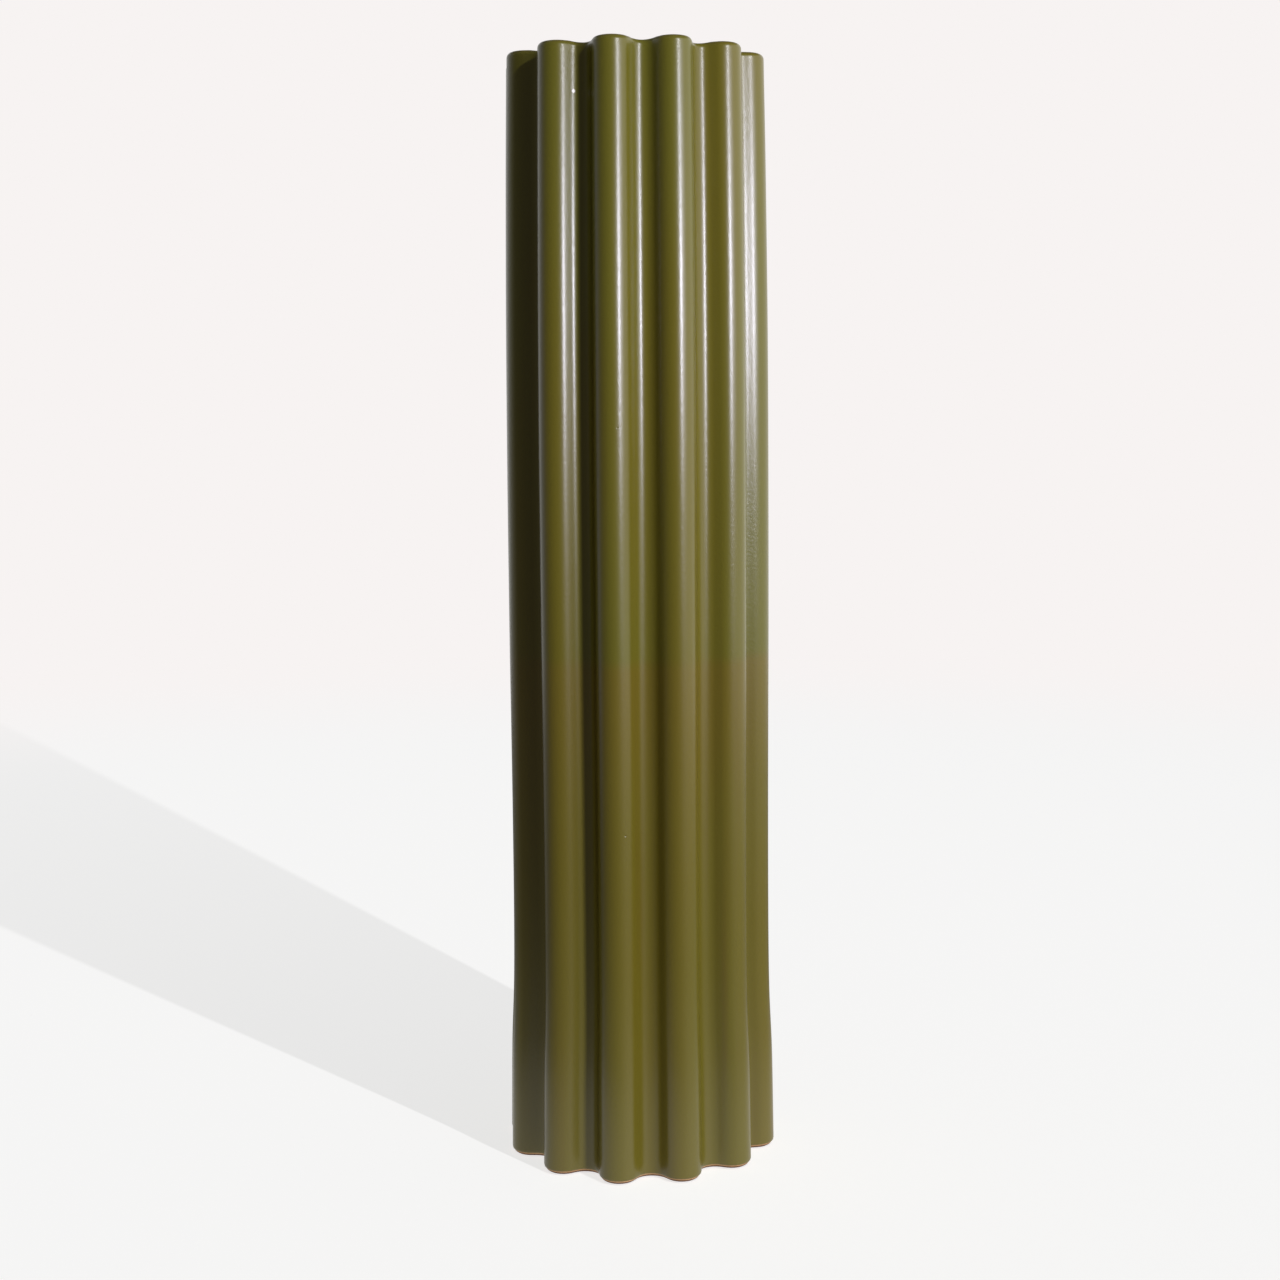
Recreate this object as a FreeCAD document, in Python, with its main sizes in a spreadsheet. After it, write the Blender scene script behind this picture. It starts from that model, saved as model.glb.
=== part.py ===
"""Tall fluted stoneware vase: a clay wall, a floor slab and a luting coil under two glaze coats.

Frame: origin in the middle of the foot, +Z up, -Y is the front.  Millimetres and degrees.
"""
import FreeCAD, Part
import math
import os

import Sketcher

V = FreeCAD.Vector
doc = FreeCAD.newDocument("fluted_vase")

# ---------------------------------------------------------------- driving dimensions

DIMENSIONS = [
    ("lobes", 12, "rounded lobes round the vase"),
    ("first_crest", 19.3, "angle from +X to the first crest"),
    ("crest_ring", 60.33, "radius of the ring that the crest arcs are centred on, at the lip"),
    ("crest_radius", 10.17, "radius of a crest arc, at the lip"),
    ("flank", 3.05, "straight run between a crest arc and a valley arc, at the lip"),
    ("valley_radius", 7.0, "radius of a valley arc, at the lip"),
    ("wall_thickness", 6.0, "clay wall"),
    ("glaze_thickness", 0.5, "each glaze coat"),
    ("lip_rounding", 2.4, "radius on both edges of the clay lip"),
    ("foot_rounding", 3.5, "radius on the outer edge of the clay foot"),
    ("bare_foot", 2.5, "height of clay that the outer glaze leaves bare"),
    ("floor_recess", 1.0, "gap between the table and the floor slab"),
    ("floor_thickness", 9.0, "clay floor slab"),
    ("coil_bore", 48.0, "radius of the clear floor inside the luting coil"),
    ("coil_height", 7.0, "height of the luting coil and radius of its hollow face"),
]

# Sections of the vase: place, height, girth as a share of the girth at the lip.
STATIONS = [
    ("foot", 0.0, 1.077),
    ("heel", 50.0, 1.065),
    ("ankle", 110.0, 1.037),
    ("waist", 190.0, 1.033),
    ("belly", 300.0, 1.038),
    ("chest", 420.0, 1.0345),
    ("shoulder", 520.0, 1.02),
    ("lip", 600.0, 1.0),
]

rows = list(DIMENSIONS)
for place, level, girth in STATIONS:
    rows.append((place + "_level", level, "height of the " + place + " section"))
    rows.append((place + "_girth", girth, "girth of the " + place + " section"))

sizes = doc.addObject("Spreadsheet::Sheet", "sizes")
for row, (alias, value, note) in enumerate(rows, start=1):
    sizes.set(f"A{row}", note)
    sizes.set(f"B{row}", str(value))
    sizes.setAlias(f"B{row}", alias)
doc.recompute()


def size(alias):
    """Number that the sheet holds under this alias."""
    return float(sizes.get(alias))


# How far each fluted face lies inside the glazed outside: glaze coats and clay walls between them.
LAYERS = {
    "glaze_outside": (0, 0),
    "clay_outside": (1, 0),
    "lip_crown": (1, 0.5),
    "clay_inside": (1, 1),
    "glaze_inside": (2, 1),
}


# ---------------------------------------------------------------- small helpers


def origin_plane(body, role):
    """One of the body's own origin planes."""
    return next(feature for feature in body.Origin.OriginFeatures if feature.Role == role)


def add_sketch(body, name, role):
    """Sketch on one of the body's origin planes."""
    sketch = body.newObject("Sketcher::SketchObject", name)
    sketch.AttachmentSupport = (origin_plane(body, role), [""])
    sketch.MapMode = "FlatFace"
    return sketch


def drive(sketch, name, constraint, expression):
    """Add a named constraint and bind it to the sheet."""
    index = sketch.addConstraint(constraint)
    sketch.renameConstraint(index, name)
    sketch.setExpression("Constraints." + name, expression)


def polar(radius, degrees):
    """Point at this radius, turned anticlockwise from +X."""
    angle = math.radians(degrees)
    return V(radius * math.cos(angle), radius * math.sin(angle), 0)


def arc(centre, radius, middle, half_turn):
    """Arc of twice the half turn, centred on the middle direction."""
    start = math.radians(middle - half_turn)
    stop = math.radians(middle + half_turn)
    return Part.ArcOfCircle(Part.Circle(centre, V(0, 0, 1), radius), start, stop)


def edges_at(shape, level, outer_only=False):
    """Numbers of the edges round the flat face at this height."""
    flat = next(face for face in shape.Faces
                if abs(face.BoundBox.ZMin - level) < 0.01 and abs(face.BoundBox.ZMax - level) < 0.01)
    loops = [flat.OuterWire] if outer_only else flat.Wires
    rims = [edge for loop in loops for edge in loop.Edges]
    return [number for number, edge in enumerate(shape.Edges, start=1)
            if any(edge.isSame(rim) for rim in rims)]


def boolean(kind, name, base, tool):
    """Cut or Common of two solids of the document."""
    result = doc.addObject("Part::" + kind, name)
    result.Base = base
    result.Tool = tool
    doc.recompute()
    return result


# ---------------------------------------------------------------- fluted sections and solids


def fluted_sketch(body, name, place, face, level):
    """Closed outline of one section: crest arcs, straight flanks and valley arcs, all without a corner."""
    coats, walls = LAYERS[face]
    inset = coats * size("glaze_thickness") + walls * size("wall_thickness")
    inset_text = f"({coats} * <<sizes>>.glaze_thickness + {walls} * <<sizes>>.wall_thickness) * 1 mm"
    girth = size(place + "_girth")
    lobes = int(size("lobes"))
    half_pitch = 180 / lobes
    ring = size("crest_ring") * girth
    crest = size("crest_radius") * girth - inset
    valley = size("valley_radius") * girth + inset
    flank = size("flank") * girth

    # Where the valley arcs are centred, and how far each arc turns to meet its flank.
    apart = math.hypot(crest + valley, flank)
    sideways = ring * math.sin(math.radians(half_pitch))
    valley_ring = ring * math.cos(math.radians(half_pitch)) + math.sqrt(apart ** 2 - sideways ** 2)
    across = polar(valley_ring, half_pitch) - V(ring, 0, 0)
    crest_turn = math.degrees(math.atan2(across.y, across.x) - math.atan2(flank, crest + valley))
    valley_turn = crest_turn - half_pitch

    sketch = add_sketch(body, name, "XY_Plane")
    sketch.setExpression("AttachmentOffset.Base.z", level)

    turns = [size("first_crest") + 2 * half_pitch * lobe for lobe in range(lobes)]
    crests = []
    valleys = []
    falls = []
    rises = []
    spokes = []
    for turn in turns:
        hollow = turn + half_pitch
        crest_centre = polar(ring, turn)
        valley_centre = polar(valley_ring, hollow)
        next_centre = polar(ring, turn + 2 * half_pitch)
        fall = crest_centre + polar(crest, turn + crest_turn), valley_centre - polar(valley, turn + crest_turn)
        ahead = hollow - valley_turn
        rise = valley_centre - polar(valley, ahead), next_centre + polar(crest, ahead)
        crests.append(sketch.addGeometry(arc(crest_centre, crest, turn, crest_turn)))
        falls.append(sketch.addGeometry(Part.LineSegment(*fall)))
        valleys.append(sketch.addGeometry(arc(valley_centre, valley, hollow + 180, valley_turn)))
        rises.append(sketch.addGeometry(Part.LineSegment(*rise)))
        spokes.append(sketch.addGeometry(Part.LineSegment(V(0, 0, 0), crest_centre), True))

    start, end, centre = 1, 2, 3
    rules = []
    for lobe in range(lobes):
        following = (lobe + 1) % lobes
        rules.append(Sketcher.Constraint("Coincident", spokes[lobe], start, -1, 1))
        rules.append(Sketcher.Constraint("Coincident", spokes[lobe], end, crests[lobe], centre))
        rules.append(Sketcher.Constraint("Tangent", crests[lobe], end, falls[lobe], start))
        rules.append(Sketcher.Constraint("Tangent", falls[lobe], end, valleys[lobe], end))
        rules.append(Sketcher.Constraint("Tangent", valleys[lobe], start, rises[lobe], start))
        rules.append(Sketcher.Constraint("Tangent", rises[lobe], end, crests[following], start))
        rules.append(Sketcher.Constraint("Equal", falls[0], rises[lobe]))
        if lobe > 0:
            rules.append(Sketcher.Constraint("Equal", spokes[0], spokes[lobe]))
            rules.append(Sketcher.Constraint("Equal", crests[0], crests[lobe]))
            rules.append(Sketcher.Constraint("Equal", falls[0], falls[lobe]))
            rules.append(Sketcher.Constraint("Equal", valleys[0], valleys[lobe]))
    sketch.addConstraint(rules)

    girth_text = f"<<sizes>>.{place}_girth"
    drive(sketch, "ring", Sketcher.Constraint("Distance", spokes[0], ring),
          f"<<sizes>>.crest_ring * {girth_text} * 1 mm")
    drive(sketch, "crest", Sketcher.Constraint("Radius", crests[0], crest),
          f"<<sizes>>.crest_radius * {girth_text} * 1 mm - {inset_text}")
    drive(sketch, "flank", Sketcher.Constraint("Distance", falls[0], flank),
          f"<<sizes>>.flank * {girth_text} * 1 mm")
    drive(sketch, "valley", Sketcher.Constraint("Radius", valleys[0], valley),
          f"<<sizes>>.valley_radius * {girth_text} * 1 mm + {inset_text}")
    drive(sketch, "first", Sketcher.Constraint("Angle", -1, 1, spokes[0], 1, math.radians(turns[0])),
          "<<sizes>>.first_crest * 1 deg")
    pitch = math.radians(2 * half_pitch)
    for lobe in range(1, lobes):
        drive(sketch, f"pitch_{lobe}", Sketcher.Constraint("Angle", spokes[lobe - 1], 1, spokes[lobe], 1, pitch),
              "360 deg / <<sizes>>.lobes")
    return sketch


def fluted_loft(body, kind, face, own_levels=None):
    """Loft through the sections of all stations; own_levels moves the end ones up or down."""
    sections = []
    for place, _, _ in STATIONS:
        level = f"<<sizes>>.{place}_level * 1 mm"
        if own_levels and place in own_levels:
            level = own_levels[place]
        sections.append(fluted_sketch(body, f"{body.Name}_{face}_{place}", place, face, level))
    loft = body.newObject("PartDesign::" + kind, f"{body.Name}_{face}")
    loft.Profile = sections[0]
    loft.Sections = sections[1:]
    doc.recompute()
    return loft


def fluted_space(name, face, own_levels=None):
    """Solid bounded by one fluted face from foot to lip."""
    body = doc.addObject("PartDesign::Body", name)
    fluted_loft(body, "AdditiveLoft", face, own_levels)
    return body


# ---------------------------------------------------------------- turned solids for the floor corner

FLOOR_TOP = "(<<sizes>>.floor_recess + <<sizes>>.floor_thickness)"
OUTSIDE_THE_VASE = "(<<sizes>>.crest_ring + 3 * <<sizes>>.crest_radius) * 1 mm"


def hollow_corner(sketch, cover):
    """Quarter arc from floor to wall: the coil's hollow face, or the glaze that covers it."""
    height = size("coil_height")
    floor_top = size("floor_recess") + size("floor_thickness")
    centre = V(size("coil_bore"), floor_top + height, 0)
    radius = height - cover * size("glaze_thickness")
    face = sketch.addGeometry(arc(centre, radius, 315, 45))
    drive(sketch, "bore", Sketcher.Constraint("DistanceX", -1, 1, face, 3, centre.x),
          "<<sizes>>.coil_bore * 1 mm")
    drive(sketch, "rise", Sketcher.Constraint("DistanceY", -1, 1, face, 3, centre.y),
          f"({FLOOR_TOP} + <<sizes>>.coil_height) * 1 mm")
    drive(sketch, "hollow", Sketcher.Constraint("Radius", face, radius),
          f"(<<sizes>>.coil_height - {cover} * <<sizes>>.glaze_thickness) * 1 mm")
    return face, centre, radius


def close_outline(sketch, face, corners):
    """Join the ends of the arc through these corners with level and upright lines."""
    lines = []
    rules = []
    for first, second in zip(corners, corners[1:]):
        line = sketch.addGeometry(Part.LineSegment(first, second))
        level = abs(first.y - second.y) < 1e-6
        rules.append(Sketcher.Constraint("Horizontal" if level else "Vertical", line))
        lines.append(line)
    for before, after in zip(lines, lines[1:]):
        rules.append(Sketcher.Constraint("Coincident", before, 2, after, 1))
    rules.append(Sketcher.Constraint("Coincident", face, 2, lines[0], 1))
    rules.append(Sketcher.Constraint("Coincident", lines[-1], 2, face, 1))
    sketch.addConstraint(rules)
    return lines


def turn_outline(body, sketch):
    """Revolve the sketch all the way round the vase's axis."""
    revolution = body.newObject("PartDesign::Revolution", body.Name + "_turned")
    revolution.Profile = sketch
    revolution.ReferenceAxis = (sketch, ["V_Axis"])
    revolution.Angle = 360
    doc.recompute()


# ---------------------------------------------------------------- clay wall

UNDER_LIP_GLAZE = {"lip": "(<<sizes>>.lip_level - <<sizes>>.glaze_thickness) * 1 mm"}

wall = doc.addObject("PartDesign::Body", "vase_wall")
fluted_loft(wall, "AdditiveLoft", "clay_outside", UNDER_LIP_GLAZE)
fluted_loft(wall, "SubtractiveLoft", "clay_inside")

clay_top = size("lip_level") - size("glaze_thickness")
for name, level, outer_only in (("lip", clay_top, False), ("foot", 0, True)):
    sharp = wall.Tip
    rims = edges_at(sharp.Shape, level, outer_only)
    fillet = wall.newObject("PartDesign::Fillet", "wall_" + name)
    fillet.Base = (sharp, [f"Edge{number}" for number in rims])
    fillet.setExpression("Radius", f"<<sizes>>.{name}_rounding * 1 mm")
    doc.recompute()

# ---------------------------------------------------------------- floor slab and luting coil

clay_bore = fluted_space("clay_bore", "clay_inside")

disc = doc.addObject("Part::Cylinder", "floor_disc")
disc.setExpression("Radius", OUTSIDE_THE_VASE)
disc.setExpression("Height", "<<sizes>>.floor_thickness * 1 mm")
disc.setExpression("Placement.Base.z", "<<sizes>>.floor_recess * 1 mm")
floor_slab = boolean("Common", "floor_slab", clay_bore, disc)

coil_ring = doc.addObject("PartDesign::Body", "coil_ring")
outline = add_sketch(coil_ring, "coil_outline", "XZ_Plane")
face, centre, radius = hollow_corner(outline, cover=0)
far = size("crest_ring") + 3 * size("crest_radius")
lines = close_outline(outline, face, [
    V(centre.x + radius, centre.y, 0),
    V(far, centre.y, 0),
    V(far, centre.y - radius, 0),
    V(centre.x, centre.y - radius, 0),
])
drive(outline, "far", Sketcher.Constraint("DistanceX", -1, 1, lines[1], 1, far), OUTSIDE_THE_VASE)
turn_outline(coil_ring, outline)
luting_coil = boolean("Common", "luting_coil", clay_bore, coil_ring)

# ---------------------------------------------------------------- glaze coats

coat_blank = fluted_space("coat_blank", "glaze_outside")
coat_bore = fluted_space("coat_bore", "glaze_inside")

basin = doc.addObject("PartDesign::Body", "basin")
outline = add_sketch(basin, "basin_outline", "XZ_Plane")
face, centre, radius = hollow_corner(outline, cover=1)
cover = size("glaze_thickness")
above = size("lip_level") + size("coil_bore")
lines = close_outline(outline, face, [
    V(centre.x + radius, centre.y, 0),
    V(centre.x + radius, centre.y + cover, 0),
    V(far, centre.y + cover, 0),
    V(far, above, 0),
    V(0, above, 0),
    V(0, centre.y - radius, 0),
    V(centre.x, centre.y - radius, 0),
])
drive(outline, "cover", Sketcher.Constraint("DistanceY", lines[0], 1, lines[0], 2, cover),
      "<<sizes>>.glaze_thickness * 1 mm")
drive(outline, "far", Sketcher.Constraint("DistanceX", -1, 1, lines[2], 1, far), OUTSIDE_THE_VASE)
drive(outline, "above", Sketcher.Constraint("DistanceY", -1, 1, lines[3], 1, above),
      "(<<sizes>>.lip_level + <<sizes>>.coil_bore) * 1 mm")
outline.addConstraint(Sketcher.Constraint("PointOnObject", lines[4], 1, -2))
turn_outline(basin, outline)

glazed_space = boolean("Common", "glazed_space", coat_bore, basin)
sharp_coat = boolean("Cut", "sharp_coat", coat_blank, glazed_space)

soft_coat = doc.addObject("Part::Fillet", "soft_coat")
soft_coat.Base = sharp_coat
rounded_edges = []
for level, alias in (("lip_level", "lip_rounding"), ("foot_level", "foot_rounding")):
    radius = size(alias) + size("glaze_thickness")
    for number in edges_at(sharp_coat.Shape, size(level)):
        rounded_edges.append((number, radius, radius))
soft_coat.Edges = rounded_edges
doc.recompute()

bare_band = doc.addObject("Part::Cylinder", "bare_band")
bare_band.setExpression("Radius", OUTSIDE_THE_VASE)
bare_band.setExpression("Height", "<<sizes>>.bare_foot * 1 mm")

coat = soft_coat
for tool in (bare_band, wall, floor_slab, luting_coil):
    coat = boolean("Cut", "coat_less_" + tool.Name, coat, tool)

lip_crown = fluted_space("lip_crown", "lip_crown")
outer_glaze = boolean("Cut", "outer_glaze", coat, lip_crown)
liner_glaze = boolean("Common", "liner_glaze", coat, lip_crown)

# ---------------------------------------------------------------- check and write

PIECES = [wall, floor_slab, luting_coil, outer_glaze, liner_glaze]

for feature in doc.Objects:
    if "Invalid" in feature.State or "Error" in feature.State:
        raise SystemExit(f"{feature.Name} failed: {feature.State}")

os.makedirs("parts", exist_ok=True)
for piece in PIECES:
    shape = piece.Shape
    if shape.isNull() or not shape.isValid() or len(shape.Solids) != 1:
        raise SystemExit(f"{piece.Label} is not one valid solid")
    print(f"{piece.Label}: {shape.Volume / 1000:.1f} cm3, {len(shape.Faces)} faces")
    shape.exportStep(f"parts/{piece.Label}.step")
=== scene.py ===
import math

import bmesh
import bpy
from mathutils import Matrix, Vector


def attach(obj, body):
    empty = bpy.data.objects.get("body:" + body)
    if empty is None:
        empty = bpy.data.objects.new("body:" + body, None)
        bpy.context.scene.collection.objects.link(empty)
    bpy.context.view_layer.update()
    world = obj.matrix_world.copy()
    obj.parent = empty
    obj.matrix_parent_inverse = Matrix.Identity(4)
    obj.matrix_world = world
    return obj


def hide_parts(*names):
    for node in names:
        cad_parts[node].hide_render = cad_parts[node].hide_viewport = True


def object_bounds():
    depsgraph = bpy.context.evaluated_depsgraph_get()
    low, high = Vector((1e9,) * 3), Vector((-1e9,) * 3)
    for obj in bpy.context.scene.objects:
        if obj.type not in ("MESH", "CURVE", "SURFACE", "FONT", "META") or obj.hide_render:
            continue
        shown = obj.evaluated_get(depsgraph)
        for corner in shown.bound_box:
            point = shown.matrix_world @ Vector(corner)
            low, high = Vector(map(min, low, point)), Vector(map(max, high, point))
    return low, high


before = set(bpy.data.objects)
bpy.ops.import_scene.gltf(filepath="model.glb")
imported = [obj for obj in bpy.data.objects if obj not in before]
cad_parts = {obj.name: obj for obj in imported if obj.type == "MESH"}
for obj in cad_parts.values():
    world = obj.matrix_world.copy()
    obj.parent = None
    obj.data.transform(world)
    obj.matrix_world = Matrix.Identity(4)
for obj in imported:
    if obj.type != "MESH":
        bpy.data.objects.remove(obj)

cad_low, cad_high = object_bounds()

MM = 0.001

# ------------------------------------------------------------------ the vase's own sizes, in metres

HEIGHT = cad_high.z
LOBES = 12
FIRST_CREST = math.radians(19.3)
CREST_RING = 60.33 * MM
CREST_RADIUS = 10.17 * MM
FLANK = 3.05 * MM
VALLEY_RADIUS = 7.0 * MM
GLAZE = 0.5 * MM
WALL = 6.0 * MM
LIP_ROUNDING = 2.4 * MM
FOOT_ROUNDING = 3.5 * MM
BARE_FOOT = 2.5 * MM
FLOOR_TOP = 10.0 * MM
COIL_BORE = 48.0 * MM
COIL_HEIGHT = 7.0 * MM

# Radii of the glazed rims, then depths inside the glazed face: the lip's crown, the bore of the clay, and the
# centre of the lip's inner rounding.
LIP_SOFT = LIP_ROUNDING + GLAZE
FOOT_SOFT = FOOT_ROUNDING + GLAZE
CROWN = GLAZE + WALL / 2
CLAY_INSIDE = GLAZE + WALL
INNER_ARC = CLAY_INSIDE - LIP_ROUNDING

# Height of each section as a share of the whole, and its girth as a share of the girth at the lip.
STATIONS = (
    (0.0, 1.077),
    (50 / 600, 1.065),
    (110 / 600, 1.037),
    (190 / 600, 1.033),
    (300 / 600, 1.038),
    (420 / 600, 1.0345),
    (520 / 600, 1.02),
    (1.0, 1.0),
)

# How finely the pieces are meshed: columns round a lobe, and rows up each face.
COLUMNS_PER_LOBE = 48
OUTSIDE_ROWS = 104
INSIDE_ROWS = 80
CLAY_OUTSIDE_ROWS = 60
CLAY_INSIDE_ROWS = 40
HIDDEN_ROWS = 12


# ------------------------------------------------------------------ node trees written as expressions


class Value:
    """A number that flows through a node tree; using it in an expression adds the Math nodes."""

    def __init__(self, tree, socket):
        self.tree = tree
        self.socket = socket

    def math(self, operation, *others):
        values = [self, *others]
        return self.tree.add("ShaderNodeMath", {"operation": operation}, *values).value()

    def __add__(self, other):
        return self.math("ADD", other)

    __radd__ = __add__

    def __mul__(self, other):
        return self.math("MULTIPLY", other)

    __rmul__ = __mul__

    def __sub__(self, other):
        return self.math("SUBTRACT", other)

    def __rsub__(self, other):
        return -self + other

    def __truediv__(self, other):
        return self.math("DIVIDE", other)

    def __rtruediv__(self, other):
        return self.tree.add("ShaderNodeMath", {"operation": "DIVIDE"}, other, self).value()

    def __pow__(self, other):
        return self.math("POWER", other)

    def __neg__(self):
        return self * -1

    def __abs__(self):
        return self.math("ABSOLUTE")

    def sin(self):
        return self.math("SINE")

    def cos(self):
        return self.math("COSINE")

    def angle_over(self, other):
        """Angle of the slope that rises this far over the other."""
        return self.math("ARCTAN2", other)

    def sqrt(self):
        return self.math("SQRT")

    def floor(self):
        return self.math("FLOOR")

    def sign(self):
        return self.math("SIGN")

    def at_most(self, limit):
        return self.math("MINIMUM", limit)

    def at_least(self, limit):
        return self.math("MAXIMUM", limit)

    def mixed(self, first, second):
        """First where this is 0, second where it is 1."""
        return self * (second - first) + first

    def eased(self, low, high):
        """0 up to low, 1 from high on, smooth between; low may be the larger."""
        ramp = self.tree.add(
            "ShaderNodeMapRange", {"interpolation_type": "SMOOTHSTEP"},
            **{"Value": self, "From Min": low, "From Max": high},
        )
        return ramp.value()


class Made:
    """A node that was just added, and its outputs."""

    def __init__(self, tree, node):
        self.tree = tree
        self.node = node

    def out(self, name=0):
        return self.node.outputs[name]

    def value(self, name=0):
        return Value(self.tree, self.node.outputs[name])


class Tree:
    """One node tree: a material's or a Geometry Nodes group's."""

    def __init__(self, nodes, links):
        self.nodes = nodes
        self.links = links

    def put(self, socket, value):
        if isinstance(value, Value):
            value = value.socket
        if isinstance(value, Made):
            value = value.out()
        if isinstance(value, bpy.types.NodeSocket):
            self.links.new(value, socket)
        else:
            socket.default_value = value

    def add(self, kind, settings=None, *ordered, **named):
        """Add a node: its type, its settings, then values or links for its sockets."""
        node = self.nodes.new(kind)
        for name, value in (settings or {}).items():
            setattr(node, name, value)
        for index, value in enumerate(ordered):
            self.put(node.inputs[index], value)
        for name, value in named.items():
            self.put(node.inputs[name], value)
        return Made(self, node)


# ------------------------------------------------------------------ the fluted form

# Inputs of the flute tree: name on the modifier, kind of socket, value.
FLUTE_INPUTS = (
    ("Lobes", "NodeSocketFloat", float(LOBES)),
    ("First Crest", "NodeSocketFloat", FIRST_CREST),
    ("Crest Ring", "NodeSocketFloat", CREST_RING),
    ("Crest Radius", "NodeSocketFloat", CREST_RADIUS),
    ("Flank", "NodeSocketFloat", FLANK),
    ("Valley Radius", "NodeSocketFloat", VALLEY_RADIUS),
    ("Height", "NodeSocketFloat", HEIGHT),
    ("Lip Sag", "NodeSocketFloat", 1.2 * MM),
    ("Lip Sag Reach", "NodeSocketFloat", 25.0 * MM),
    ("Waver", "NodeSocketFloat", 0.15 * MM),
    ("Waver Size", "NodeSocketFloat", 60.0 * MM),
    ("Waver Seed", "NodeSocketFloat", 3.0),
)


def attribute(tree, name):
    """Number that each point of the flat sheet carries under this name."""
    made = tree.add("GeometryNodeInputNamedAttribute", {"data_type": "FLOAT"}, Name=name)
    return made.value("Attribute")


def girth_curve(tree, share_of_height):
    """Girth of the section at this share of the height, through the stations."""
    node = tree.add("ShaderNodeFloatCurve")
    # The curve holds numbers from 0 to 1, so it stores ten times what the girth has over 1.
    curve = node.node.mapping.curves[0]
    while len(curve.points) < len(STATIONS):
        curve.points.new(0.5, 0.5)
    for point, (share, girth) in zip(curve.points, STATIONS):
        point.location = (share, (girth - 1) * 10)
        point.handle_type = "AUTO_CLAMPED"
    node.node.mapping.update()
    tree.put(node.node.inputs["Value"], share_of_height)
    return node.value() / 10 + 1


def flute_tree():
    """Geometry Nodes tree that bends a flat sheet into crest arcs, straight flanks and valley arcs."""
    group = bpy.data.node_groups.new("flutes", "GeometryNodeTree")
    group.interface.new_socket("Geometry", in_out="INPUT", socket_type="NodeSocketGeometry")
    for name, kind, _ in FLUTE_INPUTS:
        group.interface.new_socket(name, in_out="INPUT", socket_type=kind)
    group.interface.new_socket("Finish", in_out="INPUT", socket_type="NodeSocketMaterial")
    group.interface.new_socket("Geometry", in_out="OUTPUT", socket_type="NodeSocketGeometry")

    tree = Tree(group.nodes, group.links)
    inputs = tree.add("NodeGroupInput")
    size = {name: inputs.value(name) for name, _, _ in FLUTE_INPUTS}
    ring = size["Crest Ring"]
    crest = size["Crest Radius"]
    flank = size["Flank"]
    valley = size["Valley Radius"]

    turn = attribute(tree, "turn")
    level = attribute(tree, "level")
    inset = attribute(tree, "inset")
    roundness = attribute(tree, "roundness")
    round_radius = attribute(tree, "round_radius")

    half_pitch = math.pi / size["Lobes"]
    reach = crest + valley
    sideways = ring * half_pitch.sin()
    valley_ring = ring * half_pitch.cos() + (reach ** 2 + flank ** 2 - sideways ** 2).sqrt()
    across = valley_ring * half_pitch.sin()
    outward = valley_ring * half_pitch.cos() - ring
    crest_turn = across.angle_over(outward) - flank.angle_over(reach)
    valley_turn = crest_turn - half_pitch

    lobe_turn = turn * size["Lobes"]
    lobe = (lobe_turn + 0.5).floor()
    from_crest = (lobe_turn - lobe) * 2
    crest_angle = size["First Crest"] + lobe * half_pitch * 2
    side = from_crest.sign()
    walked = abs(from_crest) * (crest_turn * crest + flank + valley_turn * valley)
    crest_end = crest_turn * crest
    on_crest = (walked / crest).at_most(crest_turn)
    on_flank = (walked - crest_end).at_least(0).at_most(flank)
    on_valley = (walked - crest_end - flank).at_least(0) / valley
    facing = crest_angle + side * (on_crest - on_valley)

    def outline(wave):
        """X or Y of the outline at the lip: round the crest, along the flank, into the valley."""
        out = wave(crest_angle) * ring + wave(crest_angle + side * on_crest) * crest
        out = out + wave(crest_angle + side * (crest_turn + math.pi / 2)) * on_flank
        valley_start = wave(crest_angle + side * crest_turn)
        valley_end = wave(crest_angle + side * (crest_turn - on_valley))
        return out + (valley_start - valley_end) * valley

    # Noise over a squeezed height draws the waver out along the wall.
    waves = (Value.cos, Value.sin)
    lip_x, lip_y = [outline(wave) for wave in waves]
    spot = tree.add("ShaderNodeCombineXYZ", None, lip_x, lip_y, level * 0.35)
    uneven = tree.add(
        "ShaderNodeTexNoise", {"noise_dimensions": "4D"},
        **{"Vector": spot, "W": size["Waver Seed"], "Scale": 1 / size["Waver Size"], "Detail": 1.0},
    )
    offset = (uneven.value() - 0.5) * 2 * size["Waver"] - inset
    girth = girth_curve(tree, level / size["Height"])
    plain_angle = size["First Crest"] + turn * math.tau
    x, y = [
        roundness.mixed(lip * girth + wave(facing) * offset, wave(plain_angle) * round_radius)
        for wave, lip in zip(waves, (lip_x, lip_y))
    ]

    near_lip = level.eased(size["Height"] - size["Lip Sag Reach"], size["Height"])
    sagging = (on_valley / valley_turn).eased(-0.5, 1) * near_lip
    z = level - sagging * size["Lip Sag"]

    bent = tree.add("GeometryNodeSetPosition", None, inputs.out("Geometry"))
    tree.put(bent.node.inputs["Position"], tree.add("ShaderNodeCombineXYZ", None, x, y, z))
    closed = tree.add("GeometryNodeMergeByDistance", None, bent, Distance=0.01 * MM)
    smooth = tree.add("GeometryNodeSetShadeSmooth", None, closed)
    whole = tree.add("GeometryNodeRealizeInstances", None, smooth)
    finished = tree.add("GeometryNodeSetMaterial", None, whole, Material=inputs.out("Finish"))
    tree.add("NodeGroupOutput", None, finished)
    return group


FLUTES = flute_tree()

# What every point of a flat sheet tells the flute tree.
SHEET_NUMBERS = ("turn", "level", "inset", "roundness", "round_radius")


class Row:
    """One ring of the form: how high, how far inside the glazed face, and how round."""

    def __init__(self, level, inset, roundness=0.0, round_radius=0.0):
        self.level = level
        self.inset = inset
        self.roundness = roundness
        self.round_radius = round_radius


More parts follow.
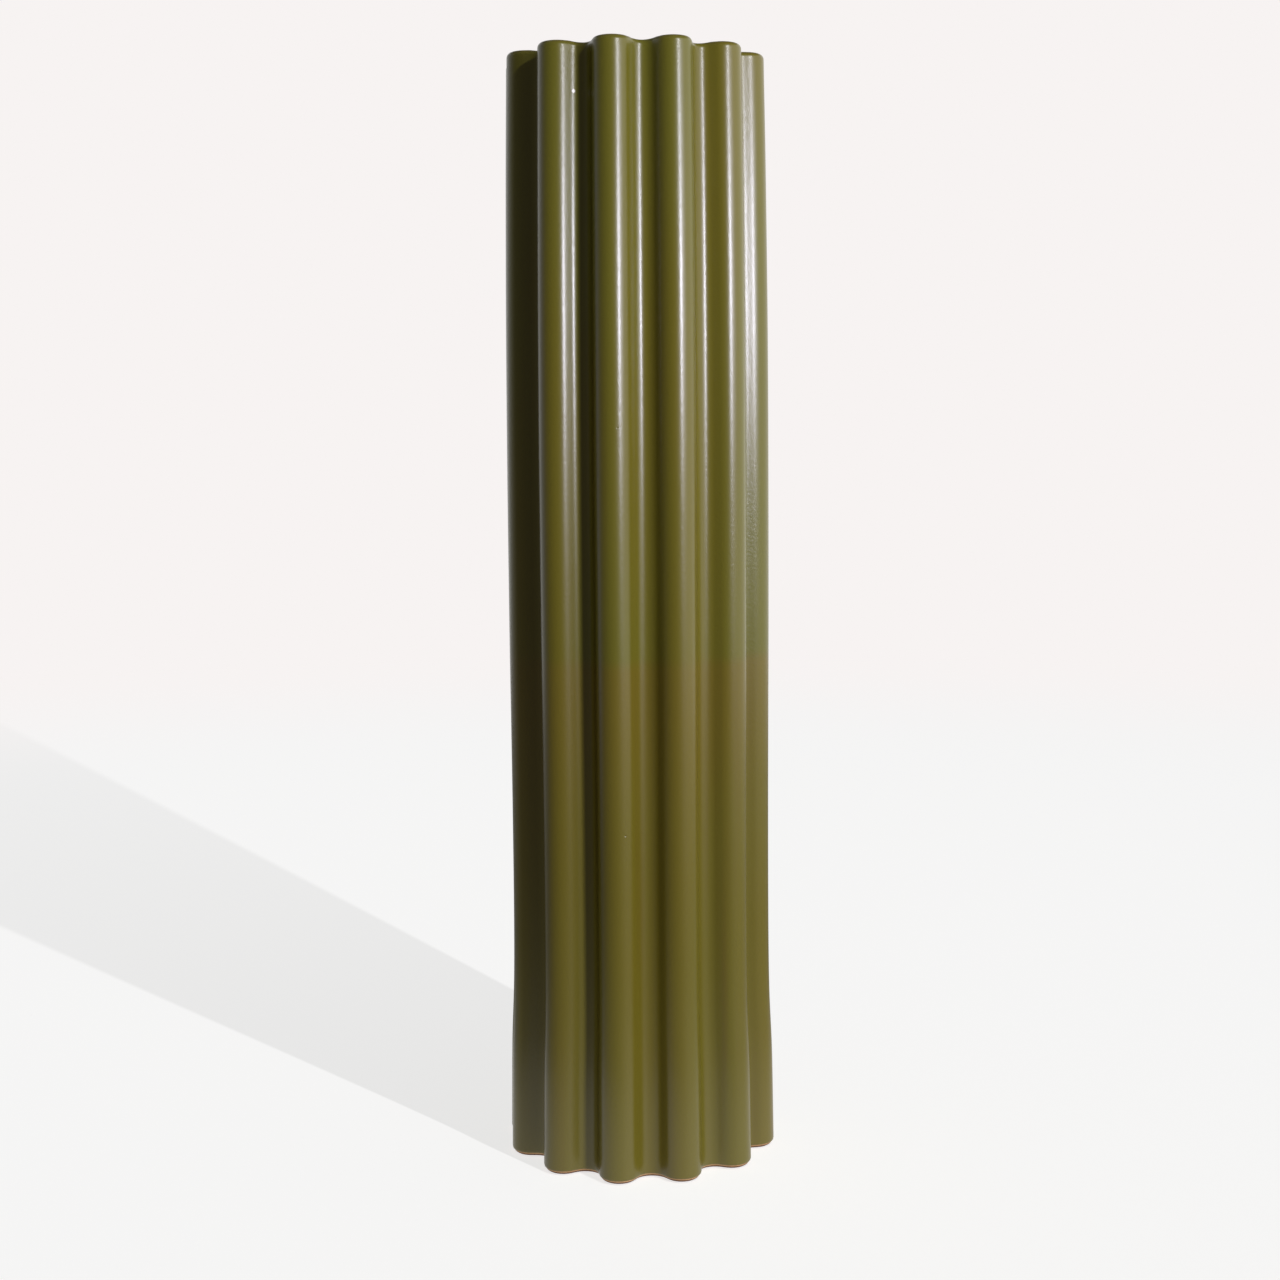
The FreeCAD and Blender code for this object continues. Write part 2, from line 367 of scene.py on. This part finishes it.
def steps(count):
    """Shares from 0 to 1, the last left out."""
    return [step / count for step in range(count)]


def lip_arc(inset, radius, start, stop, count):
    """Rows round an arc centred below the lip; angles are degrees up from the outward direction."""
    rows = []
    for share in steps(count):
        angle = math.radians(start + (stop - start) * share)
        rows.append(Row(HEIGHT - LIP_SOFT + radius * math.sin(angle), inset - radius * math.cos(angle)))
    return rows


def upright(inset, low, high, count):
    """Rows up or down one fluted face."""
    return [Row(low + (high - low) * share, inset) for share in steps(count)]


def flat_sheet(name, rows):
    """Flat mesh of rows and columns that carries each point's place on the vase as attributes."""
    columns = LOBES * COLUMNS_PER_LOBE + 1
    # The last column stops just short of the first, and the tree's merge closes the ring.
    just_short_of_whole = 0.999999
    points = []
    faces = []
    turns = []
    for number in range(len(rows)):
        for column in range(columns):
            points.append((column / columns, number / len(rows), 0))
            turns.append(column / (columns - 1) * just_short_of_whole)
    for number in range(len(rows) - 1):
        for column in range(columns - 1):
            corner = number * columns + column
            faces.append((corner, corner + 1, corner + columns + 1, corner + columns))
    mesh = bpy.data.meshes.new(name)
    mesh.from_pydata(points, [], faces)
    mesh.attributes.new("turn", "FLOAT", "POINT").data.foreach_set("value", turns)
    for key in SHEET_NUMBERS[1:]:
        numbers = [getattr(row, key) for row in rows for _ in range(columns)]
        mesh.attributes.new(key, "FLOAT", "POINT").data.foreach_set("value", numbers)
    sheet = bpy.data.objects.new(name, mesh)
    bpy.context.scene.collection.objects.link(sheet)
    return sheet


def set_inputs(modifier, values):
    """Give the modifier's named inputs their values."""
    for item in modifier.node_group.interface.items_tree:
        if item.in_out == "INPUT" and item.name in values:
            modifier[item.identifier] = values[item.name]


def outward_faces(mesh):
    """Turn every face outwards and drop edges that carry no face."""
    shape = bmesh.new()
    shape.from_mesh(mesh)
    loose = [edge for edge in shape.edges if not edge.link_faces]
    bmesh.ops.delete(shape, geom=loose, context="EDGES")
    bmesh.ops.recalc_face_normals(shape, faces=shape.faces)
    shape.to_mesh(mesh)
    shape.free()


def fluted_piece(name, rows, finish):
    """Run the flute tree over a sheet of rows and keep the result as a plain mesh."""
    sheet = flat_sheet(name + "_sheet", rows)
    modifier = sheet.modifiers.new("flutes", "NODES")
    modifier.node_group = FLUTES
    values = {key: value for key, _, value in FLUTE_INPUTS}
    values["Finish"] = finish
    set_inputs(modifier, values)
    evaluated = sheet.evaluated_get(bpy.context.evaluated_depsgraph_get())
    mesh = bpy.data.meshes.new_from_object(evaluated)
    mesh.name = name
    sheet.modifiers.remove(modifier)
    bpy.data.objects.remove(sheet)
    for carried in SHEET_NUMBERS:
        if carried in mesh.attributes:
            mesh.attributes.remove(mesh.attributes[carried])
    outward_faces(mesh)
    piece = bpy.data.objects.new(name, mesh)
    bpy.context.scene.collection.objects.link(piece)
    return piece


def corner_arc(centre_radius, centre_level, radius, start, stop, count, inset):
    """Rows of plain circles round an arc, as on the luting coil; angles are up from outward."""
    rows = []
    for share in steps(count):
        angle = math.radians(start + (stop - start) * share)
        level = centre_level + radius * math.sin(angle)
        rows.append(Row(level, inset, 1.0, centre_radius + radius * math.cos(angle)))
    return rows


def foot_arc(radius, start, stop, count):
    """Rows round the outer foot, down to the table; angles are degrees down from outward."""
    rows = []
    for share in steps(count):
        angle = math.radians(start + (stop - start) * share)
        rows.append(Row(radius - radius * math.sin(angle), FOOT_SOFT - radius * math.cos(angle)))
    return rows


def down_angle(radius, level):
    """How far round a foot arc of this radius a level lies, in degrees."""
    return math.degrees(math.asin((radius - level) / radius))


def outer_coat(finish):
    """The glaze outside: from its edge up over the lip to the crown, and back down against the clay."""
    rows = foot_arc(FOOT_SOFT, down_angle(FOOT_SOFT, BARE_FOOT), 0, 8)
    rows += upright(0, FOOT_SOFT, HEIGHT - LIP_SOFT, OUTSIDE_ROWS)
    rows += lip_arc(LIP_SOFT, LIP_SOFT, 0, 90, 10)
    rows += [Row(HEIGHT, LIP_SOFT), Row(HEIGHT, CROWN), Row(HEIGHT - GLAZE, CROWN)]
    rows += lip_arc(LIP_SOFT, LIP_ROUNDING, 90, 0, 4)
    rows += upright(GLAZE, HEIGHT - LIP_SOFT, FOOT_ROUNDING, HIDDEN_ROWS)
    rows += foot_arc(FOOT_ROUNDING, 0, down_angle(FOOT_ROUNDING, BARE_FOOT), 4)
    edge_reach = math.sqrt(FOOT_ROUNDING ** 2 - (FOOT_ROUNDING - BARE_FOOT) ** 2)
    rows.append(Row(BARE_FOOT, FOOT_SOFT - edge_reach))
    rows.append(rows[0])
    return fluted_piece("outer_glaze_coat", rows, finish)


def liner_coat(finish):
    """The glaze inside: from the crown down the wall, over the coil and floor, and back under itself."""
    inside = CLAY_INSIDE + GLAZE
    coil_top = FLOOR_TOP + COIL_HEIGHT
    cover = COIL_HEIGHT - GLAZE
    rows = [Row(HEIGHT, CROWN)]
    rows += lip_arc(INNER_ARC, LIP_SOFT, 90, 180, 10)
    rows += upright(inside, HEIGHT - LIP_SOFT, coil_top + GLAZE, INSIDE_ROWS)
    rows += [Row(coil_top + GLAZE, inside, share, COIL_BORE + cover) for share in (0, 0.5)]
    rows += [Row(coil_top + GLAZE, inside, 1, COIL_BORE + cover)]
    rows += corner_arc(COIL_BORE, coil_top, cover, 0, -90, 8, inside)
    rows += [Row(FLOOR_TOP + GLAZE, inside, 1, COIL_BORE * (1 - share)) for share in steps(8)]
    rows += [Row(FLOOR_TOP + GLAZE, inside, 1, 0), Row(FLOOR_TOP, inside, 1, 0)]
    rows += [Row(FLOOR_TOP, inside, 1, COIL_BORE * share) for share in steps(4)[1:]]
    rows += corner_arc(COIL_BORE, coil_top, COIL_HEIGHT, -90, 0, 6, inside)
    rows += [Row(coil_top, CLAY_INSIDE, 1, COIL_BORE + COIL_HEIGHT)]
    rows += upright(CLAY_INSIDE, coil_top, HEIGHT - LIP_SOFT, HIDDEN_ROWS)
    rows += lip_arc(INNER_ARC, LIP_ROUNDING, 180, 90, 4)
    rows += [Row(HEIGHT - GLAZE, CROWN), Row(HEIGHT, CROWN)]
    return fluted_piece("liner_glaze_coat", rows, finish)


def clay_wall(finish):
    """The clay between the coats: round the foot, up the outside, over the lip and down the bore."""
    rows = [Row(0, CLAY_INSIDE), Row(0, FOOT_SOFT + 1 * MM)]
    rows += foot_arc(FOOT_ROUNDING, 90, 0, 10)
    rows += upright(GLAZE, FOOT_ROUNDING, HEIGHT - LIP_SOFT, CLAY_OUTSIDE_ROWS)
    rows += lip_arc(LIP_SOFT, LIP_ROUNDING, 0, 90, 6)
    rows += [Row(HEIGHT - GLAZE, LIP_SOFT), Row(HEIGHT - GLAZE, CROWN)]
    rows += lip_arc(INNER_ARC, LIP_ROUNDING, 90, 180, 6)
    rows += upright(CLAY_INSIDE, HEIGHT - LIP_SOFT, 0, CLAY_INSIDE_ROWS)
    rows.append(rows[0])
    return fluted_piece("clay_wall", rows, finish)


# ------------------------------------------------------------------ finishes


def new_finish(name):
    """Empty material with its tree, its Principled shader and the place on the vase in metres."""
    material = bpy.data.materials.new(name)
    material.use_nodes = True
    material.node_tree.nodes.clear()
    tree = Tree(material.node_tree.nodes, material.node_tree.links)
    shader = tree.add("ShaderNodeBsdfPrincipled")
    tree.add("ShaderNodeOutputMaterial", None, shader)
    place = tree.add("ShaderNodeTexCoord").out("Object")
    return material, tree, shader.node, place


def stretched(tree, place, scale):
    """Place on the vase, stretched by these factors along X, Y and Z."""
    return tree.add("ShaderNodeVectorMath", {"operation": "MULTIPLY"}, place, scale).out("Vector")


def noise(tree, place, size, detail=2.0, seed=0.0, roughness=0.5):
    """Noise from 0 to 1 with features of about this size in metres."""
    made = tree.add(
        "ShaderNodeTexNoise", {"noise_dimensions": "4D"},
        **{"Vector": place, "W": seed, "Scale": 1 / size, "Detail": detail, "Roughness": roughness},
    )
    return made.value()


def blend(tree, share, first, second):
    """Colour that goes from the first to the second."""
    # Of the mix node's sockets, 0 is the share, 6 and 7 are the colours, and output 2 is the mixed colour.
    mix = tree.add("ShaderNodeMix", {"data_type": "RGBA"})
    tree.put(mix.node.inputs[0], share)
    tree.put(mix.node.inputs[6], first)
    tree.put(mix.node.inputs[7], second)
    return mix.out(2)


def bumped(tree, height, distance):
    """Normal of a surface raised by this height, in shares of the distance."""
    return tree.add("ShaderNodeBump", None, Height=height, Distance=distance, Strength=1.0).out()


def near(tree, place, spot, radius, edge):
    """1 within the radius of a spot, falling to 0 over the edge."""
    away = tree.add("ShaderNodeVectorMath", {"operation": "DISTANCE"}, place, spot).value("Value")
    return away.eased(radius + edge, radius)


# Flaws in the glaze: one pit under the lip, with a painted glint on it, and pinholes on the lobe that faces
# front.
GLINT_PIT = (-0.0309, -0.0532, 0.574)
PINHOLES = ((-0.0096, -0.0717, 0.402), (-0.0073, -0.0708, 0.189))

# Across the wall runs a line, with a browner glaze under it.
HUE_LINE = 0.4646 * HEIGHT
HUE_LINE_SOFTNESS = 4 * MM


def olive_glaze():
    """Satin olive glaze: streaks down the wall, browner below a line, a fine grain and a thin brown lip."""
    material, tree, shader, place = new_finish("olive_glaze")
    level = tree.add("ShaderNodeSeparateXYZ", None, place).value(2)

    streaks = noise(tree, stretched(tree, place, (1, 1, 0.03)), 9 * MM, 3.0, 1.0)
    broad = noise(tree, stretched(tree, place, (1, 1, 0.12)), 40 * MM, 1.0, 2.0)
    cloud = noise(tree, place, 60 * MM, 3.0, 3.0)
    # The glaze turns browner below a line across the wall.
    below_hue_line = level.eased(HUE_LINE + HUE_LINE_SOFTNESS, HUE_LINE - HUE_LINE_SOFTNESS)
    lower = level.eased(0.44 * HEIGHT, 0.30 * HEIGHT)

    green = (0.100, 0.094, 0.0080, 1)
    yellow = (0.108, 0.090, 0.0065, 1)
    amber = (0.116, 0.088, 0.0075, 1)
    brown = (0.100, 0.070, 0.0080, 1)
    break_brown = (0.140, 0.092, 0.030, 1)
    body = blend(tree, broad.eased(0.35, 0.65), green, yellow)
    body = blend(tree, below_hue_line * (0.95 - lower * 0.45), body, amber)
    body = blend(tree, streaks.eased(0.5, 0.75) * (below_hue_line * 0.3 + 0.2), body, brown)
    lip = level.eased(HEIGHT - 2.4 * MM, HEIGHT - 0.6 * MM)
    edge = level.eased(BARE_FOOT + 0.9 * MM, BARE_FOOT)
    thin = (lip * 0.25 + edge * 0.6) * (noise(tree, place, 5 * MM, 2.0, 4.0) * 0.6 + 0.6)
    body = blend(tree, thin, body, break_brown)
    # The pale spot on the pit under the lip is a painted glint, not a chip in the glaze.
    painted_glint_white = (0.80, 0.77, 0.72, 1)
    painted_glint_spot = near(tree, place, GLINT_PIT, 0.5 * MM, 0.8 * MM)
    tree.put(shader.inputs["Base Color"], blend(tree, painted_glint_spot, body, painted_glint_white))

    grain = noise(tree, place, 1.4 * MM, 0.0, 5.0)
    ripple = noise(tree, stretched(tree, place, (1, 1, 0.5)), 12 * MM, 0.0, 6.0)
    tree.put(shader.inputs["Roughness"], (cloud - 0.5) * 0.05 + 0.30)
    height = grain * 2.0 + ripple * 0.3 - near(tree, place, GLINT_PIT, 0.3 * MM, 1.1 * MM) * 6
    for pinhole in PINHOLES:
        height = height - near(tree, place, pinhole, 0.2 * MM, 0.5 * MM) * 8
    tree.put(shader.inputs["Normal"], bumped(tree, height, 0.02 * MM))
    shader.inputs["IOR"].default_value = 1.55
    return material


def bare_clay():
    """Unglazed tan stoneware: fine grog, with painted shade where it turns under the foot."""
    material, tree, shader, place = new_finish("bare_stoneware")
    level = tree.add("ShaderNodeSeparateXYZ", None, place).value(2)
    grog = noise(tree, place, 0.5 * MM, 4.0, 7.0)
    cloud = noise(tree, place, 14 * MM, 3.0, 8.0)
    clay = blend(tree, cloud.eased(0.3, 0.7), (0.42, 0.24, 0.105, 1), (0.50, 0.31, 0.15, 1))
    clay = blend(tree, grog.eased(0.62, 0.75) * 0.5, clay, (0.20, 0.10, 0.05, 1))
    # Painted shade: below 1.9 mm the clay turns dark where it turns under the foot, out of the light.
    painted_underside_shade = level.eased(1.9 * MM, 1.4 * MM)
    tree.put(shader.inputs["Base Color"], blend(tree, painted_underside_shade, clay, (0.10, 0.035, 0.015, 1)))
    tree.put(shader.inputs["Roughness"], grog * 0.15 + 0.75)
    tree.put(shader.inputs["Normal"], bumped(tree, grog, 0.08 * MM))
    return material


def put_on_vase():
    """Three fluted pieces replace the plain wall and coats; the floor and coil keep their shape."""
    glaze = olive_glaze()
    clay = bare_clay()
    pieces = (
        (outer_coat(glaze), "outer_glaze", "olive_glaze"),
        (liner_coat(glaze), "liner_glaze", "olive_glaze"),
        (clay_wall(clay), "vase_wall", "stoneware"),
    )
    for piece, node, slot in pieces:
        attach(piece, "root")
        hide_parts(node)
    for node in ("floor_slab", "luting_coil"):
        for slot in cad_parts[node].material_slots:
            slot.material = clay


put_on_vase()

# ------------------------------------------------------------------ camera

CAMERA_BACK = 1.055
CAMERA_HEIGHT = 0.3955
CAMERA_PITCH = math.radians(5.98)
CAMERA_YAW = math.radians(-0.068)
CAMERA_ROLL = math.radians(-0.42)

camera_data = bpy.data.cameras.new("camera")
camera_data.sensor_width = 36
camera_data.lens = 53.6
camera = bpy.data.objects.new("camera", camera_data)
bpy.context.scene.collection.objects.link(camera)
camera.matrix_world = (
    Matrix.Translation((0, -CAMERA_BACK, CAMERA_HEIGHT))
    @ Matrix.Rotation(CAMERA_YAW, 4, "Z")
    @ Matrix.Rotation(math.radians(90) - CAMERA_PITCH, 4, "X")
    @ Matrix.Rotation(CAMERA_ROLL, 4, "Z")
)
bpy.context.scene.camera = camera

# ------------------------------------------------------------------ studio: paper and walls


def level_sheet(name, half_width, level, material):
    """Square level sheet, centred under the vase."""
    mesh = bpy.data.meshes.new(name)
    corners = [(-1, -1), (1, -1), (1, 1), (-1, 1)]
    mesh.from_pydata([(x * half_width, y * half_width, level) for x, y in corners], [], [(0, 1, 2, 3)])
    mesh.materials.append(material)
    sheet = bpy.data.objects.new(name, mesh)
    bpy.context.scene.collection.objects.link(sheet)
    return sheet


WALL_WHITE = (0.930, 0.896, 0.888)

# The paper's own lamp is the paper key. PAPER_GLOW is the white that the paper's glow and this lamp make
# together, and PAPER_KEY_SHARE is the lamp's part of it straight below the lamp.
PAPER_GLOW = 0.861
PAPER_KEY = (0.463, -0.633, 0.84)
PAPER_KEY_POWER = 10.0
PAPER_KEY_SHARE = 0.177


def paper_sweep():
    """White paper: its glow and the paper key add up to one white; far off it is the wall's white."""
    material, tree, shader, place = new_finish("paper_sweep")
    away = tree.add("ShaderNodeVectorMath", {"operation": "LENGTH"}, place).value("Value")
    far = away.eased(1.3, 2.4)
    key_away = tree.add("ShaderNodeVectorMath", {"operation": "DISTANCE"}, place, PAPER_KEY)
    glow = PAPER_GLOW - PAPER_KEY_SHARE * PAPER_KEY[2] / key_away.value("Value")
    tree.put(shader.inputs["Emission Color"], blend(tree, far, glow, (*WALL_WHITE, 1)))
    tree.put(shader.inputs["Base Color"], blend(tree, far, (0.70, 0.70, 0.70, 1), (0, 0, 0, 1)))
    shader.inputs["Emission Strength"].default_value = 1
    shader.inputs["Roughness"].default_value = 1
    shader.inputs["Specular IOR Level"].default_value = 0
    return material


def floor_light():
    """Light that the paper round the foot throws back up, fading outwards."""
    material, tree, shader, place = new_finish("floor_light")
    away = tree.add("ShaderNodeVectorMath", {"operation": "LENGTH"}, place).value("Value")
    glow = blend(tree, away.eased(0.12, 0.40), (0.78, 0.77, 0.75, 1), (0.12, 0.12, 0.11, 1))
    tree.put(shader.inputs["Emission Color"], glow)
    shader.inputs["Emission Strength"].default_value = 1
    shader.inputs["Base Color"].default_value = (0, 0, 0, 1)
    return material


def wall_light():
    """Light off the white walls: bright behind and to the right, dim where the camera stands."""
    material, tree, shader, place = new_finish("wall_light")
    parts = tree.add("ShaderNodeSeparateXYZ", None, place)
    bearing = parts.value(0).angle_over(-parts.value(1))
    right = bearing.eased(math.radians(22), math.radians(55))
    left = (-bearing).eased(math.radians(62), math.radians(135))
    behind = abs(bearing).eased(math.radians(140), math.radians(172))
    glow = blend(tree, right, (0.12, 0.105, 0.08, 1), (1.35, 1.32, 1.28, 1))
    glow = blend(tree, left, glow, (0.95, 0.95, 0.93, 1))
    glow = blend(tree, behind, glow, (0.75, 0.75, 0.75, 1))
    tree.put(shader.inputs["Emission Color"], glow)
    shader.inputs["Emission Strength"].default_value = 1
    shader.inputs["Base Color"].default_value = (0, 0, 0, 1)
    return material


def round_wall(name, radius, low, high, material):
    """Upright ring of wall round the vase."""
    sides = 96
    points = []
    for level in (low, high):
        for side in range(sides):
            angle = math.tau * side / sides
            points.append((radius * math.cos(angle), radius * math.sin(angle), level))
    faces = []
    for side in range(sides):
        following = (side + 1) % sides
        faces.append((side, following, following + sides, side + sides))
    mesh = bpy.data.meshes.new(name)
    mesh.from_pydata(points, [], faces)
    mesh.materials.append(material)
    wall = bpy.data.objects.new(name, mesh)
    bpy.context.scene.collection.objects.link(wall)
    return wall


floor = level_sheet("floor", 60, 0, paper_sweep())
floor.visible_diffuse = False
floor.visible_glossy = False

bounce = level_sheet("floor_bounce", 1.5, -0.5 * MM, floor_light())
walls = round_wall("studio_walls", 2.5, -0.4, 2.4, wall_light())
for hidden in (bounce, walls):
    hidden.visible_camera = False
    hidden.visible_shadow = False

# The lamps and the walls that light the vase leave the paper out, so that the shadow on it stays plain.
all_but_paper = bpy.data.collections.new("all_but_paper")
all_but_paper.objects.link(floor)
all_but_paper.collection_objects[0].light_linking.link_state = "EXCLUDE"
walls.light_linking.receiver_collection = all_but_paper

# The paper key lights nothing but the paper.
only_paper = bpy.data.collections.new("only_paper")
only_paper.objects.link(floor)

# ------------------------------------------------------------------ studio: lamps

COOL = (1.0, 0.98, 1.16)


def softbox(name, place, aim, width, height, power):
    """Rectangular light that hangs at a place and faces another."""
    data = bpy.data.lights.new(name, "AREA")
    data.shape = "RECTANGLE"
    data.size = width
    data.size_y = height
    data.energy = power
    data.color = COOL
    light = bpy.data.objects.new(name, data)
    bpy.context.scene.collection.objects.link(light)
    light.location = place
    light.rotation_euler = (Vector(aim) - Vector(place)).to_track_quat("-Z", "Y").to_euler()
    light.visible_camera = False
    light.light_linking.receiver_collection = all_but_paper


softbox("key_strip", (0.483, -0.722, 0.62), (0, 0, 0.55), 0.055, 0.40, 2.2)
softbox("key_core", (0.482, -0.720, 0.55), (0, 0, 0.52), 0.055, 0.15, 2.9)
softbox("key_glow", (0.640, -0.590, 0.58), (0, 0, 0.54), 0.20, 0.35, 0.9)

sun_data = bpy.data.lights.new("far_key", "SUN")
sun_data.energy = 1.0
sun_data.angle = math.radians(2.5)
sun = bpy.data.objects.new("far_key", sun_data)
bpy.context.scene.collection.objects.link(sun)
sun_side = math.radians(34)
sun_up = math.radians(22)
sun_x = math.sin(sun_side) * math.cos(sun_up)
sun_y = -math.cos(sun_side) * math.cos(sun_up)
sun_from = Vector((sun_x, sun_y, math.sin(sun_up)))
sun.rotation_euler = (-sun_from).to_track_quat("-Z", "Y").to_euler()
sun.light_linking.receiver_collection = all_but_paper

paper_key_data = bpy.data.lights.new("paper_key", "POINT")
paper_key_data.energy = PAPER_KEY_POWER
paper_key_data.shadow_soft_size = 4 * MM
paper_key_data.use_nodes = True
paper_key_data.node_tree.nodes.clear()
glow_tree = Tree(paper_key_data.node_tree.nodes, paper_key_data.node_tree.links)
even = glow_tree.add("ShaderNodeLightFalloff", None, 1.0).out("Constant")
lamp_glow = glow_tree.add("ShaderNodeEmission", None, (1, 1, 1, 1), even)
glow_tree.add("ShaderNodeOutputLight", None, lamp_glow)
paper_key = bpy.data.objects.new("paper_key", paper_key_data)
bpy.context.scene.collection.objects.link(paper_key)
paper_key.location = PAPER_KEY
paper_key.light_linking.receiver_collection = only_paper

world = bpy.data.worlds.new("studio")
world.use_nodes = True
world.node_tree.nodes.clear()
air = Tree(world.node_tree.nodes, world.node_tree.links)
# The camera sees the wall's white; everything else gets a dim, warm light.
seen = air.add("ShaderNodeBackground", None, (*WALL_WHITE, 1), 1.0)
lit = air.add("ShaderNodeBackground", None, (1, 0.96, 0.9, 1), 0.14)
in_view = air.add("ShaderNodeLightPath").out("Is Camera Ray")
chooser = air.add("ShaderNodeMixShader", None, in_view, lit, seen)
air.add("ShaderNodeOutputWorld", None, chooser)
bpy.context.scene.world = world
bpy.context.scene.view_settings.view_transform = "Standard"
